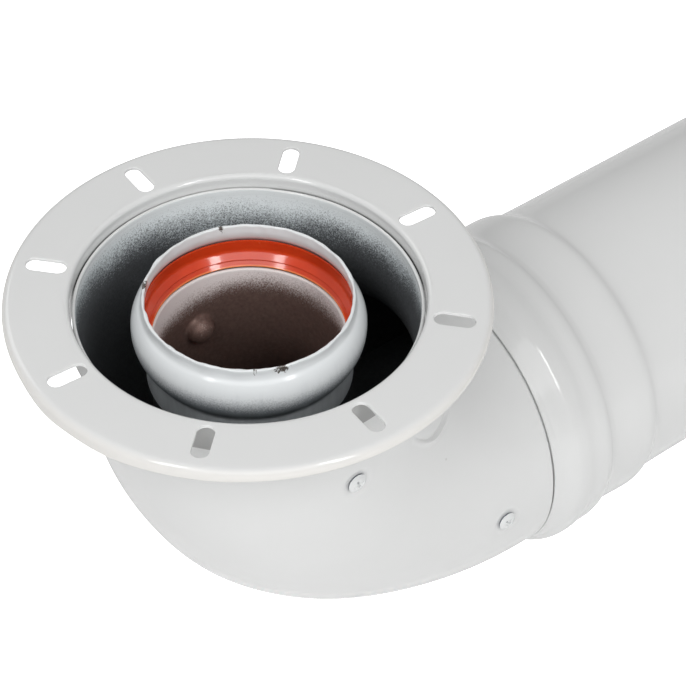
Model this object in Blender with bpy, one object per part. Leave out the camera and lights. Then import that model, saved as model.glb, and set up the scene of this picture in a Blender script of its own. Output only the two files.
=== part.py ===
"""Coaxial flue elbow with the flue pipe that plugs onto it.

Units are metres. The boiler face of the flange lies in the plane z = 0, facing up. The flue axis
runs down from the origin, turns through 90 degrees, and leaves along +X at z = -DROP.
"""

import math

import bmesh
import bpy
from mathutils import Matrix, Vector

# Layout
DROP = 0.1019            # flange face down to the axis of the outlet
GAP = 0.0003             # assembly gap at touching faces

# Flange ring, pressed from sheet
FLANGE_R = 0.0728
FLANGE_T = 0.0012
SKIRT_Z = -0.0037
SKIRT_DROOPS = ((180, 9, 0.0019), (199, 14, 0.00175), (222, 12, 0.0005))  # place, width, depth
EDGE_ROLL = 0.0024
COLLAR_R = 0.0530        # bore of the turned-down collar
COLLAR_ROLL = 0.0019
COLLAR_Z = -0.0118
SLOT_COUNT = 8
SLOT_R0, SLOT_R1 = 0.0555, 0.0680
SLOT_W = 0.0052
SLOT_PHASE = math.radians(-3.4)

# Outer casing
CASE_R = 0.0510
CASE_T = 0.0010
CASE_BEND = 0.0800
CASE_TOP = -0.0043
MOUTH_R = 0.0526
CASE_END_X = 0.0846      # shoulder where the casing steps down to its spigot
SPIGOT_R = 0.0497
SPIGOT_END_X = 0.1270
HEEL_SWELL = (34, 7, 0.0005)     # turn and width in degrees, and height
HEEL_FLAT = (65, 18, 0.00095)

# Inner duct
DUCT_R = 0.0300
DUCT_T = 0.0012
DUCT_BEND = 0.0600
DUCT_TOP = -0.0172
DUCT_END_X = 0.1180

# Screw positions as (x, z) on each flank: the rear holes were drilled a little off the front ones
SCREWS = {
    ("inlet", "front"): (0.0015, -0.0403),
    ("inlet", "rear"): (0.0012, -0.0376),
    ("outlet", "front"): (0.0646, -0.1006),
    ("outlet", "rear"): (0.0646, -0.1006),
}
SIDES = {"front": -1, "rear": 1}
SCREW_HEAD_R = 0.0031
SCREW_R = 0.0015
BUSH_R = 0.0050
BUSH_BORE_R = 0.0020
PAD_Y = 0.0310           # outer face of the cast pads on the inner duct

# Flue pipe
PIPE_R = 0.0500
PIPE_T = 0.0010
PIPE_X0 = 0.0854
PIPE_END_X = 0.3354
INNER_X0 = 0.0980
INNER_END_X = 0.3264
INNER_T = 0.0010
SPACER_X = (0.1760, 0.2900)

SEG_WIDE = 40            # facets round the wide parts
SEG_NARROW = 32
SEG_SMALL = 16


def material(name, color, rough, metal=0.0):
    made = bpy.data.materials.new(name)
    made.use_nodes = True
    shader = made.node_tree.nodes["Principled BSDF"]
    shader.inputs["Base Color"].default_value = (*color, 1.0)
    shader.inputs["Roughness"].default_value = rough
    shader.inputs["Metallic"].default_value = metal
    return made


def finish(name, mesh_data, color, rough, metal=0.0):
    """One named object from a bmesh, with normals outward and its own material."""
    bmesh.ops.recalc_face_normals(mesh_data, faces=mesh_data.faces[:])
    mesh = bpy.data.meshes.new(name)
    mesh_data.to_mesh(mesh)
    mesh_data.free()
    obj = bpy.data.objects.new(name, mesh)
    bpy.context.scene.collection.objects.link(obj)
    mesh.materials.append(material(name + "_material", color, rough, metal))
    mesh.shade_smooth()
    mesh.set_sharp_from_angle(angle=math.radians(35))
    return obj


def helper(name, mesh_data):
    """A cutter or an addition for a Boolean: closed, and hidden from every render."""
    bmesh.ops.recalc_face_normals(mesh_data, faces=mesh_data.faces[:])
    mesh = bpy.data.meshes.new(name)
    mesh_data.to_mesh(mesh)
    mesh_data.free()
    obj = bpy.data.objects.new(name, mesh)
    bpy.context.scene.collection.objects.link(obj)
    obj.hide_render = True
    obj.display_type = "WIRE"
    return obj


def combine(obj, other, operation):
    made = obj.modifiers.new(other.name, "BOOLEAN")
    made.operation = operation
    made.solver = "EXACT"
    made.object = other
    made.show_viewport = made.show_render = True


def ring_shell(rings):
    """A closed band through rings of points: each ring joins the next, and the last the first."""
    mesh = bmesh.new()
    loops = [[mesh.verts.new(p) for p in ring] for ring in rings]
    for i, ring in enumerate(loops):
        after = loops[(i + 1) % len(loops)]
        for k in range(len(ring)):
            m = (k + 1) % len(ring)
            mesh.faces.new((ring[k], ring[m], after[m], after[k]))
    return mesh


def capped(rings):
    """A closed skin through rings of points, with a flat cap on the first and the last."""
    mesh = bmesh.new()
    loops = [[mesh.verts.new(p) for p in ring] for ring in rings]
    for ring, after in zip(loops, loops[1:]):
        for k in range(len(ring)):
            m = (k + 1) % len(ring)
            mesh.faces.new((ring[k], ring[m], after[m], after[k]))
    mesh.faces.new(loops[0])
    mesh.faces.new(loops[-1])
    return mesh


def circle(centre, across, along, radius, count):
    return [
        centre
        + across * (radius * math.cos(math.tau * k / count))
        + along * (radius * math.sin(math.tau * k / count))
        for k in range(count)
    ]


def revolve_z(profile, count):
    """Rings about the vertical axis from (radius, z) pairs."""
    x, y = Vector((1, 0, 0)), Vector((0, 1, 0))
    return [circle(Vector((0, 0, z)), x, y, r, count) for r, z in profile]


def revolve_x(profile, count):
    """Rings about the outlet axis from (x, radius) pairs."""
    up, y = Vector((0, 0, 1)), Vector((0, 1, 0))
    return [circle(Vector((x, 0, -DROP)), up, y, r, count) for x, r in profile]


def along_bend(stations, bend, count):
    """Rings on the bent axis: a number is a turn in degrees, ("z", v) and ("x", v) the straights."""
    rings = []
    y = Vector((0, 1, 0))
    for place, radius in stations:
        if isinstance(place, tuple) and place[0] == "z":
            centre, turn = Vector((0, 0, place[1])), 0.0
        elif isinstance(place, tuple):
            centre, turn = Vector((place[1], 0, -DROP)), math.pi / 2
        else:
            turn = math.radians(place)
            centre = Vector(
                (bend - bend * math.cos(turn), 0, bend - DROP - bend * math.sin(turn))
            )
        across = Vector((math.cos(turn), 0, math.sin(turn)))
        rings.append(circle(centre, across, y, radius, count))
    return rings


def bump(degrees, place, width, height):
    """A bell-shaped rise with its crest at `place`."""
    return height * math.exp(-(((degrees - place) / width) ** 2))


def pressed_heel(rings, stations):
    """Swells, then flattens, the outside of the bend, and leaves its flanks round."""
    for ring, (place, _) in zip(rings, stations):
        straight = isinstance(place, tuple)
        degrees = place if not straight else {"z": 0, "x": 90}[place[0]]
        change = bump(degrees, *HEEL_SWELL) - bump(degrees, *HEEL_FLAT)
        turn = math.radians(degrees)
        across = Vector((math.cos(turn), 0, math.sin(turn)))
        centre = sum(ring, Vector()) / len(ring)
        for point in ring:
            out = (point - centre).normalized()
            share = min(max((-out.dot(across) - 0.05) / 0.7, 0), 1)
            point += out * (change * share * share * (3 - 2 * share))
    return rings


def turns(radius, step):
    return [(i * 90 / step, radius) for i in range(step + 1)]


def side_rod(x, z, pairs, side, count):
    """Rings about an axis parallel to Y through (x, z), from (y, radius) pairs on one flank."""
    across, up = Vector((1, 0, 0)), Vector((0, 0, 1))
    return [circle(Vector((x, side * y, z)), across, up, r, count) for y, r in pairs]


def arc(centre, radius, start, end, steps):
    """Points on a circular arc in a profile plane, angles in degrees."""
    span = [math.radians(start + (end - start) * i / steps) for i in range(steps + 1)]
    return [(centre[0] + radius * math.cos(a), centre[1] + radius * math.sin(a)) for a in span]


for old in list(bpy.data.objects):
    bpy.data.objects.remove(old, do_unlink=True)

WHITE = (0.80, 0.80, 0.79)
ALLOY = (0.62, 0.63, 0.65)

# Flange ring: flat face, edge rolled down into a skirt, bore rolled down into a collar
outer_mid = (FLANGE_R - EDGE_ROLL, -EDGE_ROLL)
inner_mid = (COLLAR_R + COLLAR_ROLL, -COLLAR_ROLL)
profile = arc(inner_mid, COLLAR_ROLL, 180, 90, 3)
profile += arc(outer_mid, EDGE_ROLL, 90, 0, 3)
profile += [(FLANGE_R, SKIRT_Z), (FLANGE_R - FLANGE_T, SKIRT_Z)]
profile += arc(outer_mid, EDGE_ROLL - FLANGE_T, 0, 90, 1)
profile += arc(inner_mid, COLLAR_ROLL - FLANGE_T, 90, 180, 2)
profile += [(COLLAR_R + FLANGE_T, COLLAR_Z), (COLLAR_R, COLLAR_Z)]
rings = revolve_z(profile, SEG_WIDE)
for ring, (_, z) in zip(rings, profile):
    if z == SKIRT_Z:
        for k, point in enumerate(ring):
            point.z -= sum(bump(360 * k / SEG_WIDE, *droop) for droop in SKIRT_DROOPS)
flange = finish("flange_ring", ring_shell(rings), WHITE, 0.35)
for i in range(SLOT_COUNT):
    half = SLOT_W / 2
    outline = arc((SLOT_R1 - half, 0), half, -90, 90, 5)
    outline += arc((SLOT_R0 + half, 0), half, 90, 270, 5)
    turn = Matrix.Rotation(SLOT_PHASE + math.tau * i / SLOT_COUNT, 3, "Z")
    layers = [[turn @ Vector((x, y, z)) for x, y in outline] for z in (-0.004, 0.003)]
    combine(flange, helper(f"slot_cutter_{i}", capped(layers)), "DIFFERENCE")

# Outer casing: swelled mouth, long smooth bend, and the spigot that enters the flue pipe
outside = [(("z", CASE_TOP), MOUTH_R), (("z", -0.0075), MOUTH_R), (("z", -0.0165), 0.0515)]
outside += turns(CASE_R, 12) + [(("x", CASE_END_X), CASE_R)]
outside += [(("x", CASE_END_X + 0.0002), SPIGOT_R), (("x", SPIGOT_END_X - 0.003), SPIGOT_R)]
outside += [(("x", SPIGOT_END_X), SPIGOT_R - 0.0005)]
inside = [(("x", SPIGOT_END_X), SPIGOT_R - 0.0012), (("x", CASE_END_X - 0.001), SPIGOT_R - 0.001)]
inside += [(("x", CASE_END_X - 0.002), CASE_R - CASE_T)]
inside += turns(CASE_R - CASE_T, 12)[::-1]
inside += [(("z", -0.0165), 0.0505), (("z", -0.0075), MOUTH_R - 0.0009)]
inside += [(("z", CASE_TOP), MOUTH_R - 0.0009)]
stations = outside + inside
rings = pressed_heel(along_bend(stations, CASE_BEND, SEG_WIDE), stations)
casing = finish("outer_elbow", ring_shell(rings), WHITE, 0.35)

# Cast inner duct, with a pad outside and a blind domed boss inside at each screw
outside = [(("z", DUCT_TOP), DUCT_R - 0.0004), (("z", DUCT_TOP - 0.001), DUCT_R)]
outside += turns(DUCT_R, 10) + [(("x", DUCT_END_X - 0.002), DUCT_R)]
outside += [(("x", DUCT_END_X), DUCT_R - 0.0004)]
inside = [(("x", DUCT_END_X), DUCT_R - DUCT_T)]
inside += turns(DUCT_R - DUCT_T, 10)[::-1] + [(("z", DUCT_TOP), DUCT_R - DUCT_T)]
duct = finish(
    "inner_elbow",
    ring_shell(along_bend(outside + inside, DUCT_BEND, SEG_NARROW)),
    ALLOY,
    0.5,
    0.6,
)
boss = [(PAD_Y, 0.0056), (0.0292, 0.0056), (0.0290, 0.0049), (0.0268, 0.0046), (0.0254, 0.0038)]
boss += [(0.0246, 0.0024)]
for (at, flank), (x, z) in SCREWS.items():
    side = SIDES[flank]
    added = capped(side_rod(x, z, boss, side, SEG_SMALL))
    combine(duct, helper(f"boss_{at}_{flank}", added), "UNION")
    hole = capped(side_rod(x, z, [(0.0262, 0.0019), (PAD_Y + 0.002, 0.0019)], side, 12))
    combine(duct, helper(f"blind_hole_{at}_{flank}", hole), "DIFFERENCE")
    seat = [(CASE_R - 0.0004, 0.0038), (CASE_R + 0.0008, 0.0056)]
    cut = capped(side_rod(x, z, seat, side, SEG_SMALL))
    combine(casing, helper(f"dimple_{at}_{flank}", cut), "DIFFERENCE")
    hole = capped(side_rod(x, z, [(0.047, 0.0019), (0.054, 0.0019)], side, 12))
    combine(casing, helper(f"casing_hole_{at}_{flank}", hole), "DIFFERENCE")

# Inlet socket: a swaged sleeve with a seal bead, pressed over the neck of the inner duct
outside = [(0.0319, -0.0009), (0.0320, -0.0032), (0.0330, -0.0052), (0.0343, -0.0072)]
outside += [(0.0351, -0.0095), (0.0354, -0.0122), (0.0351, -0.0150), (0.0342, -0.0176)]
outside += [(0.0328, -0.0198), (0.0318, -0.0214), (0.0315, -0.0315)]
inside = [(0.0304, -0.0315), (0.0304, -0.0210), (0.0318, -0.0190), (0.0333, -0.0168)]
inside += [(0.0341, -0.0148), (0.0344, -0.0122), (0.0341, -0.0097), (0.0334, -0.0078)]
inside += [(0.0318, -0.0062), (0.0311, -0.0040), (0.0309, -0.0009)]
finish("inlet_socket", ring_shell(revolve_z(outside + inside, SEG_NARROW)), WHITE, 0.4)

# Silicone seal in the bead: an upright wall, then two stepped fins that slope in to the lip
lip = [(0.0321, -0.0074), (0.0318, -0.0077), (0.0317, -0.0090), (0.0319, -0.0098)]
lip += [(0.0319, -0.0122), (0.0305, -0.0138), (0.0309, -0.0142), (0.0296, -0.0157)]
lip += [(0.0294, -0.0163), (0.0298, -0.0168), (0.0312, -0.0160), (0.0328, -0.0162)]
lip += [(0.0337, -0.0145), (0.0340, -0.0122), (0.0336, -0.0096), (0.0327, -0.0082)]
finish("inlet_seal", ring_shell(revolve_z(lip, SEG_NARROW)), (0.85, 0.13, 0.03), 0.25)

# Distance bushes between duct and casing, and the screws that pass through them
head = [(0.0262 + 0.0010, SCREW_R * 0.5), (0.0262 + 0.0022, SCREW_R), (0.0509, SCREW_R)]
head += [(0.0509, SCREW_HEAD_R), (0.0516, SCREW_HEAD_R), (0.0523, 0.0026), (0.0527, 0.0017)]
for (at, flank), (x, z) in SCREWS.items():
    side = SIDES[flank]
    span = [(PAD_Y + GAP, BUSH_R), (0.0494, BUSH_R), (0.0494, BUSH_BORE_R)]
    span += [(PAD_Y + GAP, BUSH_BORE_R)]
    rings = side_rod(x, z, span, side, SEG_SMALL)
    finish(f"bush_{at}_{flank}", ring_shell(rings), (0.55, 0.56, 0.58), 0.5, 0.6)
    rings = side_rod(x, z, head, side, SEG_SMALL)
    screw = finish(f"screw_{at}_{flank}", capped(rings), (0.78, 0.78, 0.78), 0.35, 0.2)
    for turn in (35, 125):
        a = math.radians(turn)
        long = Vector((math.cos(a), 0, math.sin(a))) * 0.0019
        short = Vector((-math.sin(a), 0, math.cos(a))) * 0.00045
        low, high = Vector((x, side * 0.0517, z)), Vector((x, side * 0.0535, z))
        layers = [
            [mid + long + short, mid - long + short, mid - long - short, mid + long - short]
            for mid in (low, high)
        ]
        combine(screw, helper(f"recess_{at}_{flank}_{turn}", capped(layers)), "DIFFERENCE")

# Flue pipe: beaded push-fit socket and straight barrel in one piece
skin = [(PIPE_X0, 0.0509), (0.0870, 0.0517), (0.0895, 0.0529), (0.0920, 0.0542)]
skin += [(0.0945, 0.0549), (0.0970, 0.0550), (0.0995, 0.0546), (0.1020, 0.05435)]
skin += [(0.1055, 0.05435), (0.1075, 0.0540), (0.1090, 0.0533), (0.1110, 0.0525)]
skin += [(0.1135, 0.05215), (0.1180, 0.0521), (0.1225, 0.05235), (0.1265, 0.0524)]
skin += [(0.1285, 0.0521), (0.1310, 0.0510), (0.1335, 0.05035), (0.1370, 0.0501)]
skin += [(0.1450, PIPE_R), (PIPE_END_X, PIPE_R)]
bore = [(PIPE_END_X, PIPE_R - PIPE_T), (0.1370, 0.0491), (0.1335, 0.0493), (0.1305, 0.0500)]
bore += [(0.1280, 0.0511), (0.1180, 0.0511), (0.1130, 0.0512), (0.1085, 0.0524)]
bore += [(0.1060, 0.0533), (0.1020, 0.0533), (0.0970, 0.0540), (0.0945, 0.0539)]
bore += [(0.0915, 0.0529), (0.0880, 0.0511), (PIPE_X0, 0.0502)]
finish("outer_pipe", ring_shell(revolve_x(skin + bore, SEG_WIDE)), WHITE, 0.35)

# Lip seal in the socket bead, round the casing's spigot
lip = [(0.0908, 0.0511), (0.0918, 0.0502), (0.0940, 0.0508), (0.0980, 0.0508)]
lip += [(0.1008, 0.0501), (0.1022, 0.0505), (0.1012, 0.0518), (0.0998, 0.0530)]
lip += [(0.0962, 0.0536), (0.0926, 0.0525)]
finish("outer_pipe_seal", ring_shell(revolve_x(lip, SEG_WIDE)), (0.03, 0.03, 0.03), 0.6)

# Inner tube of the flue pipe, with its own beaded socket on the duct's spigot
skin = [(INNER_X0, 0.0316), (0.1000, 0.0322), (0.1022, 0.0338), (0.1045, 0.0346)]
skin += [(0.1080, 0.0346), (0.1103, 0.0338), (0.1125, 0.0320), (0.1205, 0.0316)]
skin += [(0.1240, 0.0300), (INNER_END_X, DUCT_R)]
bore = [(INNER_END_X, DUCT_R - INNER_T), (0.1245, DUCT_R - INNER_T), (0.1205, 0.0306)]
bore += [(0.1125, 0.0308), (0.1098, 0.0328), (0.1075, 0.0336), (0.1050, 0.0336)]
bore += [(0.1027, 0.0328), (0.1000, 0.0312), (INNER_X0, 0.0306)]
finish("inner_pipe", ring_shell(revolve_x(skin + bore, SEG_NARROW)), ALLOY, 0.4, 0.8)

lip = [(0.1022, 0.0316), (0.1034, 0.0304), (0.1058, 0.0310), (0.1085, 0.0303)]
lip += [(0.1094, 0.0308), (0.1086, 0.0322), (0.1073, 0.0333), (0.1052, 0.0333)]
lip += [(0.1034, 0.0328)]
finish("inner_pipe_seal", ring_shell(revolve_x(lip, SEG_NARROW)), (0.85, 0.13, 0.03), 0.3)


def spider(x, width):
    """Band round the inner tube with three sprung legs that reach the outer tube."""
    band_in, band_out, reach = DUCT_R + GAP, DUCT_R + 0.0020, PIPE_R - PIPE_T - GAP
    mesh = bmesh.new()
    up, y = Vector((0, 0, 1)), Vector((0, 1, 0))

    def put(radius, degrees, at):
        a = math.radians(degrees)
        return Vector((at, 0, -DROP)) + up * (radius * math.cos(a)) + y * (radius * math.sin(a))

    foot = [(0.0440, 2.0), (0.0468, 5.2), (reach, 6.0)]
    angles = []
    for leg in (0, 120, 240):
        angles += [leg - 2.7, leg + 2.7] + [leg + 2.7 + 114.6 * k / 9 for k in range(1, 9)]
    sides = []
    for at in (x, x + width):
        inner = [mesh.verts.new(put(band_in, a, at)) for a in angles]
        outer = [mesh.verts.new(put(band_out, a, at)) for a in angles]
        legs = []
        for leg in (0, 120, 240):
            right = [mesh.verts.new(put(r, leg + a, at)) for r, a in foot]
            left = [mesh.verts.new(put(r, leg - a, at)) for r, a in foot]
            middle = mesh.verts.new(put(reach, leg, at))
            legs.append(left + [middle] + right[::-1])
        sides.append((inner, outer, legs))
    count = len(angles)
    for inner, outer, legs in sides:
        for k in range(count):
            m = (k + 1) % count
            mesh.faces.new((inner[k], inner[m], outer[m], outer[k]))
        for n, chain in enumerate(legs):
            mesh.faces.new([outer[n * 10]] + chain + [outer[n * 10 + 1]])
    near, far = sides
    for k in range(count):
        m = (k + 1) % count
        mesh.faces.new((near[0][k], near[0][m], far[0][m], far[0][k]))
        if k % 10:
            mesh.faces.new((near[1][k], near[1][m], far[1][m], far[1][k]))
    for n in range(3):
        first = [near[1][n * 10]] + near[2][n] + [near[1][n * 10 + 1]]
        second = [far[1][n * 10]] + far[2][n] + [far[1][n * 10 + 1]]
        for k in range(len(first) - 1):
            mesh.faces.new((first[k], first[k + 1], second[k + 1], second[k]))
    return mesh


for label, x in zip(("near", "far"), SPACER_X):
    finish(f"spacer_{label}", spider(x, 0.010), (0.12, 0.12, 0.13), 0.5)
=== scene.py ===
"""Looks of a coaxial flue elbow: a cast duct with a lip-sealed socket, the enamelled casing and
slotted flange round it, and the push-fit flue pipe that plugs onto both. Lengths are in metres."""

import math

import bmesh
import bpy
import numpy as np
from mathutils import Matrix, Vector


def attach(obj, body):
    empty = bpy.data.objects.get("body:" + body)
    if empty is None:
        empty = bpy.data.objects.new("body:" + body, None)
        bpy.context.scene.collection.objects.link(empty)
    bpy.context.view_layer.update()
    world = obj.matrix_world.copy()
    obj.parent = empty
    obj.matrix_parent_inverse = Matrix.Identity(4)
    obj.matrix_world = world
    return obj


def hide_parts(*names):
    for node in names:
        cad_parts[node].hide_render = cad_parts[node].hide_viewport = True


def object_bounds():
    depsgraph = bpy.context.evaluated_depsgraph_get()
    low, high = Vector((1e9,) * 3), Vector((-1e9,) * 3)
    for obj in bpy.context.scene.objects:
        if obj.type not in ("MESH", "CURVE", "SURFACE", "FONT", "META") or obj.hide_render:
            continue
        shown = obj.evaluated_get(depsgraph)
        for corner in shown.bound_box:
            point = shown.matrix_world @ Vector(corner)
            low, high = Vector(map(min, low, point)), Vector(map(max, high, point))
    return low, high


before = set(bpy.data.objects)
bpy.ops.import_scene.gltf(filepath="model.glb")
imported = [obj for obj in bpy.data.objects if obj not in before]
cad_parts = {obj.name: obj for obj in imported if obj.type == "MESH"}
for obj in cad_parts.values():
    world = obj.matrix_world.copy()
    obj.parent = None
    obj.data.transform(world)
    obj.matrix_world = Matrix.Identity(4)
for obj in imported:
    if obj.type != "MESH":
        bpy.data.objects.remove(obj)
cad_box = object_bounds()

# ---------------------------------------------------------------------------------------------
# Inner duct. Flue gas leaves the boiler through it, so it is a thin aluminium casting, left bare
# and dull. White paint meant for the casing drifts down its mouth and dies out as speckle. Each
# fixing screw ends in a blind round boss that stands up inside the bore.
DROP = 0.1019            # boiler face down to the outlet axis
DUCT_BEND = 0.0600       # radius of the duct's own axis round the corner
DUCT_R, DUCT_BORE = 0.0300, 0.0288
DUCT_TOP, DUCT_END = 0.0172, 0.1180
SCREW_SPOTS = {("inlet", "front"): (0.0015, -0.0403), ("inlet", "rear"): (0.0012, -0.0376),
               ("outlet", "front"): (0.0646, -0.1006), ("outlet", "rear"): (0.0646, -0.1006)}
FLANKS = {"front": -1, "rear": 1}
PAD_FACE, PAD_R = 0.0310, 0.0056
BOSS_R, BOSS_RISE = 0.0046, 0.0042


def spaced(low, high, coarse, spots=()):
    """Values from low to high, about coarse apart and closer near each (middle, half, fine) spot.

    The number of values per unit is 1 / coarse, or near a spot 1 / fine over one plus the sixth
    power of the distance in half-widths. Its running total is cut into equal steps."""
    x = np.linspace(low, high, 6001)
    density = np.full(x.size, 1 / coarse)
    for middle, half, fine in spots:
        density = np.maximum(density, 1 / fine / (1 + ((x - middle) / half) ** 6))
    total = np.concatenate([[0], np.cumsum((density[1:] + density[:-1]) / 2 * np.diff(x))])
    return np.interp(np.linspace(0, total[-1], math.ceil(total[-1]) + 1), total, x)


def smooth(x, low, high):
    """0 below low, 1 above high, and 3t^2 - 2t^3 of the share t of the way between."""
    t = np.clip((x - low) / (high - low), 0, 1)
    return t * t * (3 - 2 * t)


def outlet(x):
    """Length along the duct's axis at which it lies x out from the boiler axis."""
    return DROP - DUCT_BEND + DUCT_BEND * math.pi / 2 + x - DUCT_BEND


def carried(profile, angles, bend=DUCT_BEND):
    """A profile of (length along the axis, radius) pairs carried round the bent axis.

    The axis goes straight down for DROP - bend, round a quarter turn of radius bend, then out
    along +X. Each point is the axis point, plus radius times cos(angle) towards the inside of
    the bend, plus radius times sin(angle) along +Y."""
    length, radius = np.asarray(profile, float).T
    turn = np.clip((length - (DROP - bend)) / bend, 0, math.pi / 2)
    down = np.minimum(length, DROP - bend)
    out = np.maximum(length - (DROP - bend) - bend * math.pi / 2, 0)
    none = np.zeros_like(length)
    centre = np.stack([bend * (1 - np.cos(turn)) + out, none, -down - bend * np.sin(turn)], -1)
    inward = np.stack([np.cos(turn), none, np.sin(turn)], -1)
    inward_part = (radius[:, None] * np.cos(angles))[..., None] * inward[:, None]
    side_part = (radius[:, None] * np.sin(angles))[..., None] * np.array([0.0, 1.0, 0.0])
    return centre[:, None] + inward_part + side_part


def skin(name, rings, cyclic=True, **marks):
    """A closed skin through a grid: point j of ring i joins point j + 1 and ring i + 1.

    Each ring closes on itself. With cyclic the last ring joins the first, as in a pipe wall;
    without it the end rings are filled. The sign of the summed tetrahedra on the middle point
    says whether the faces point out. Marks are one value per ring, or one per point."""
    count, around = rings.shape[:2]
    i = np.arange(count if cyclic else count - 1)[:, None]
    j = np.arange(around)[None]
    after, beside = (i + 1) % count, (j + 1) % around
    corners = [i * around + j, i * around + beside, after * around + beside, after * around + j]
    quads = np.stack([np.broadcast_to(c, (len(i), around)) for c in corners], -1).reshape(-1, 4)
    points = rings.reshape(-1, 3)
    p = (points - points.mean(0))[quads]
    volume = (p[:, 0] * np.cross(p[:, 1], p[:, 2]) + p[:, 0] * np.cross(p[:, 2], p[:, 3])).sum()
    faces = quads.tolist()
    if not cyclic:
        faces += [list(range(around))[::-1], list(range((count - 1) * around, count * around))]
    if volume < 0:
        faces = [face[::-1] for face in faces]
    mesh = bpy.data.meshes.new(name)
    mesh.from_pydata(points.tolist(), [], faces)
    for mark, values in marks.items():
        values = np.asarray(values, np.float32)
        if values.ndim == 1:
            values = np.repeat(values, around)
        mesh.attributes.new(mark, "FLOAT", "POINT").data.foreach_set("value", values.ravel())
    mesh.shade_smooth()
    mesh.set_sharp_from_angle(angle=math.radians(42))
    made = bpy.data.objects.new(name, mesh)
    bpy.context.scene.collection.objects.link(made)
    return made


def arc(centre, radius, start, end, steps):
    """(length, radius) pairs on an arc in a profile, angles in degrees from the length axis."""
    a = np.radians(np.linspace(start, end, steps + 1))
    return np.stack([centre[0] + radius * np.cos(a), centre[1] + radius * np.sin(a)], -1)


def from_screw(rings, spot):
    """Distance of each point from a screw's axis, which runs along Y through (x, z)."""
    return np.hypot(rings[..., 0] - spot[0], rings[..., 2] - spot[1])


def add(tree, kind, inputs=None, **settings):
    """Adds a node; inputs maps its sockets to values or to other sockets, settings its options."""
    made = tree.nodes.new(kind)
    for option, value in settings.items():
        setattr(made, option, value)
    for socket, value in (inputs or {}).items():
        if isinstance(value, bpy.types.NodeSocket):
            tree.links.new(value, made.inputs[socket])
        else:
            made.inputs[socket].default_value = value
    return made


def math_node(tree, operation, first, second=0.0):
    """The output of a Math node on two values or sockets."""
    return add(tree, "ShaderNodeMath", {0: first, 1: second}, operation=operation).outputs[0]


def mixed(tree, factor, first, second):
    """The colour between first and second, each an RGB triple or a socket."""
    sides = [(*c, 1.0) if isinstance(c, tuple) else c for c in (first, second)]
    made = add(tree, "ShaderNodeMix", {0: factor, 6: sides[0], 7: sides[1]}, data_type="RGBA")
    return made.outputs[2]


def ranged(tree, value, start, end, to_start=0.0, to_end=1.0, **settings):
    """A value carried from start..end to to_start..to_end, and held at those ends past them."""
    made = add(tree, "ShaderNodeMapRange", {"Value": value, "From Min": start, "From Max": end,
               "To Min": to_start, "To Max": to_end}, **settings)
    return made.outputs[0]


def feed(tree, shader, **sockets):
    """Links sockets to the shader's inputs; underscores in the names stand for spaces."""
    for label, socket in sockets.items():
        tree.links.new(socket, shader.inputs[label.replace("_", " ")])


def new_group(name, inputs, outputs):
    """A node group with float inputs and their first values, and typed outputs."""
    tree = bpy.data.node_groups.new(name, "ShaderNodeTree")
    for label, value in inputs.items():
        kind = "NodeSocketVector" if value is None else "NodeSocketFloat"
        made = tree.interface.new_socket(label, in_out="INPUT", socket_type=kind)
        if value is not None:
            made.default_value = value
    for label, kind in outputs.items():
        tree.interface.new_socket(label, in_out="OUTPUT", socket_type=kind)
    return tree, tree.nodes.new("NodeGroupInput").outputs, tree.nodes.new("NodeGroupOutput").inputs


def placed(tree, group, **inputs):
    """Puts a node group into a tree; underscores in the names of its inputs stand for spaces."""
    made = add(tree, "ShaderNodeGroup", node_tree=group)
    for label, value in inputs.items():
        socket = made.inputs[label.replace("_", " ")]
        if isinstance(value, bpy.types.NodeSocket):
            tree.links.new(value, socket)
        else:
            socket.default_value = value
    return made.outputs


def new_material(name, color=(0.8, 0.8, 0.8), **sockets):
    """A material whose Principled shader takes its constant values here: (tree, shader, place)."""
    made = bpy.data.materials.new(name)
    made.use_nodes = True
    tree = made.node_tree
    shader = tree.nodes["Principled BSDF"]
    shader.inputs["Base Color"].default_value = (*color, 1.0)
    for label, value in sockets.items():
        shader.inputs[label.replace("_", " ")].default_value = value
    return made, tree, shader, add(tree, "ShaderNodeTexCoord").outputs["Object"]


# Overspray: paint fog that thins out with the distance it has drifted past an edge. Fine grains
# and a slow cloud of noise, set against that distance, decide what is covered.
overspray, given, result = new_group(
    "Overspray",
    {"Place": None, "Reach": 0.0, "Start": 0.0, "End": 0.02, "Grain": 2100.0, "Drift": 0.25,
     "Speckle": 1.7},
    {"Cover": "NodeSocketFloat"},
)
grains = add(overspray, "ShaderNodeTexNoise",
             {"Vector": given["Place"], "Scale": given["Grain"], "Detail": 3.0, "Roughness": 0.72})
cloud = add(overspray, "ShaderNodeTexNoise",
            {"Vector": given["Place"], "Scale": 42.0, "Detail": 2.0, "Roughness": 0.5})
far = ranged(overspray, given["Reach"], given["Start"], given["End"], -0.1, 1.1)
speckled = math_node(overspray, "ADD", 0.5, math_node(
    overspray, "MULTIPLY", given["Speckle"],
    math_node(overspray, "SUBTRACT", grains.outputs["Fac"], 0.5)))
drifted = math_node(overspray, "MULTIPLY", given["Drift"],
                    math_node(overspray, "SUBTRACT", cloud.outputs["Fac"], 0.5))
gap = math_node(overspray, "SUBTRACT", speckled, math_node(overspray, "ADD", far, drifted))
bared = ranged(overspray, gap, 0.35, -0.35, interpolation_type="SMOOTHSTEP")
past_edge = ranged(overspray, given["Reach"], 0.0001, 0.0030)
overspray.links.new(
    math_node(overspray, "SUBTRACT", 1.0, math_node(overspray, "MULTIPLY", bared, past_edge)),
    result["Cover"])

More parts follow.
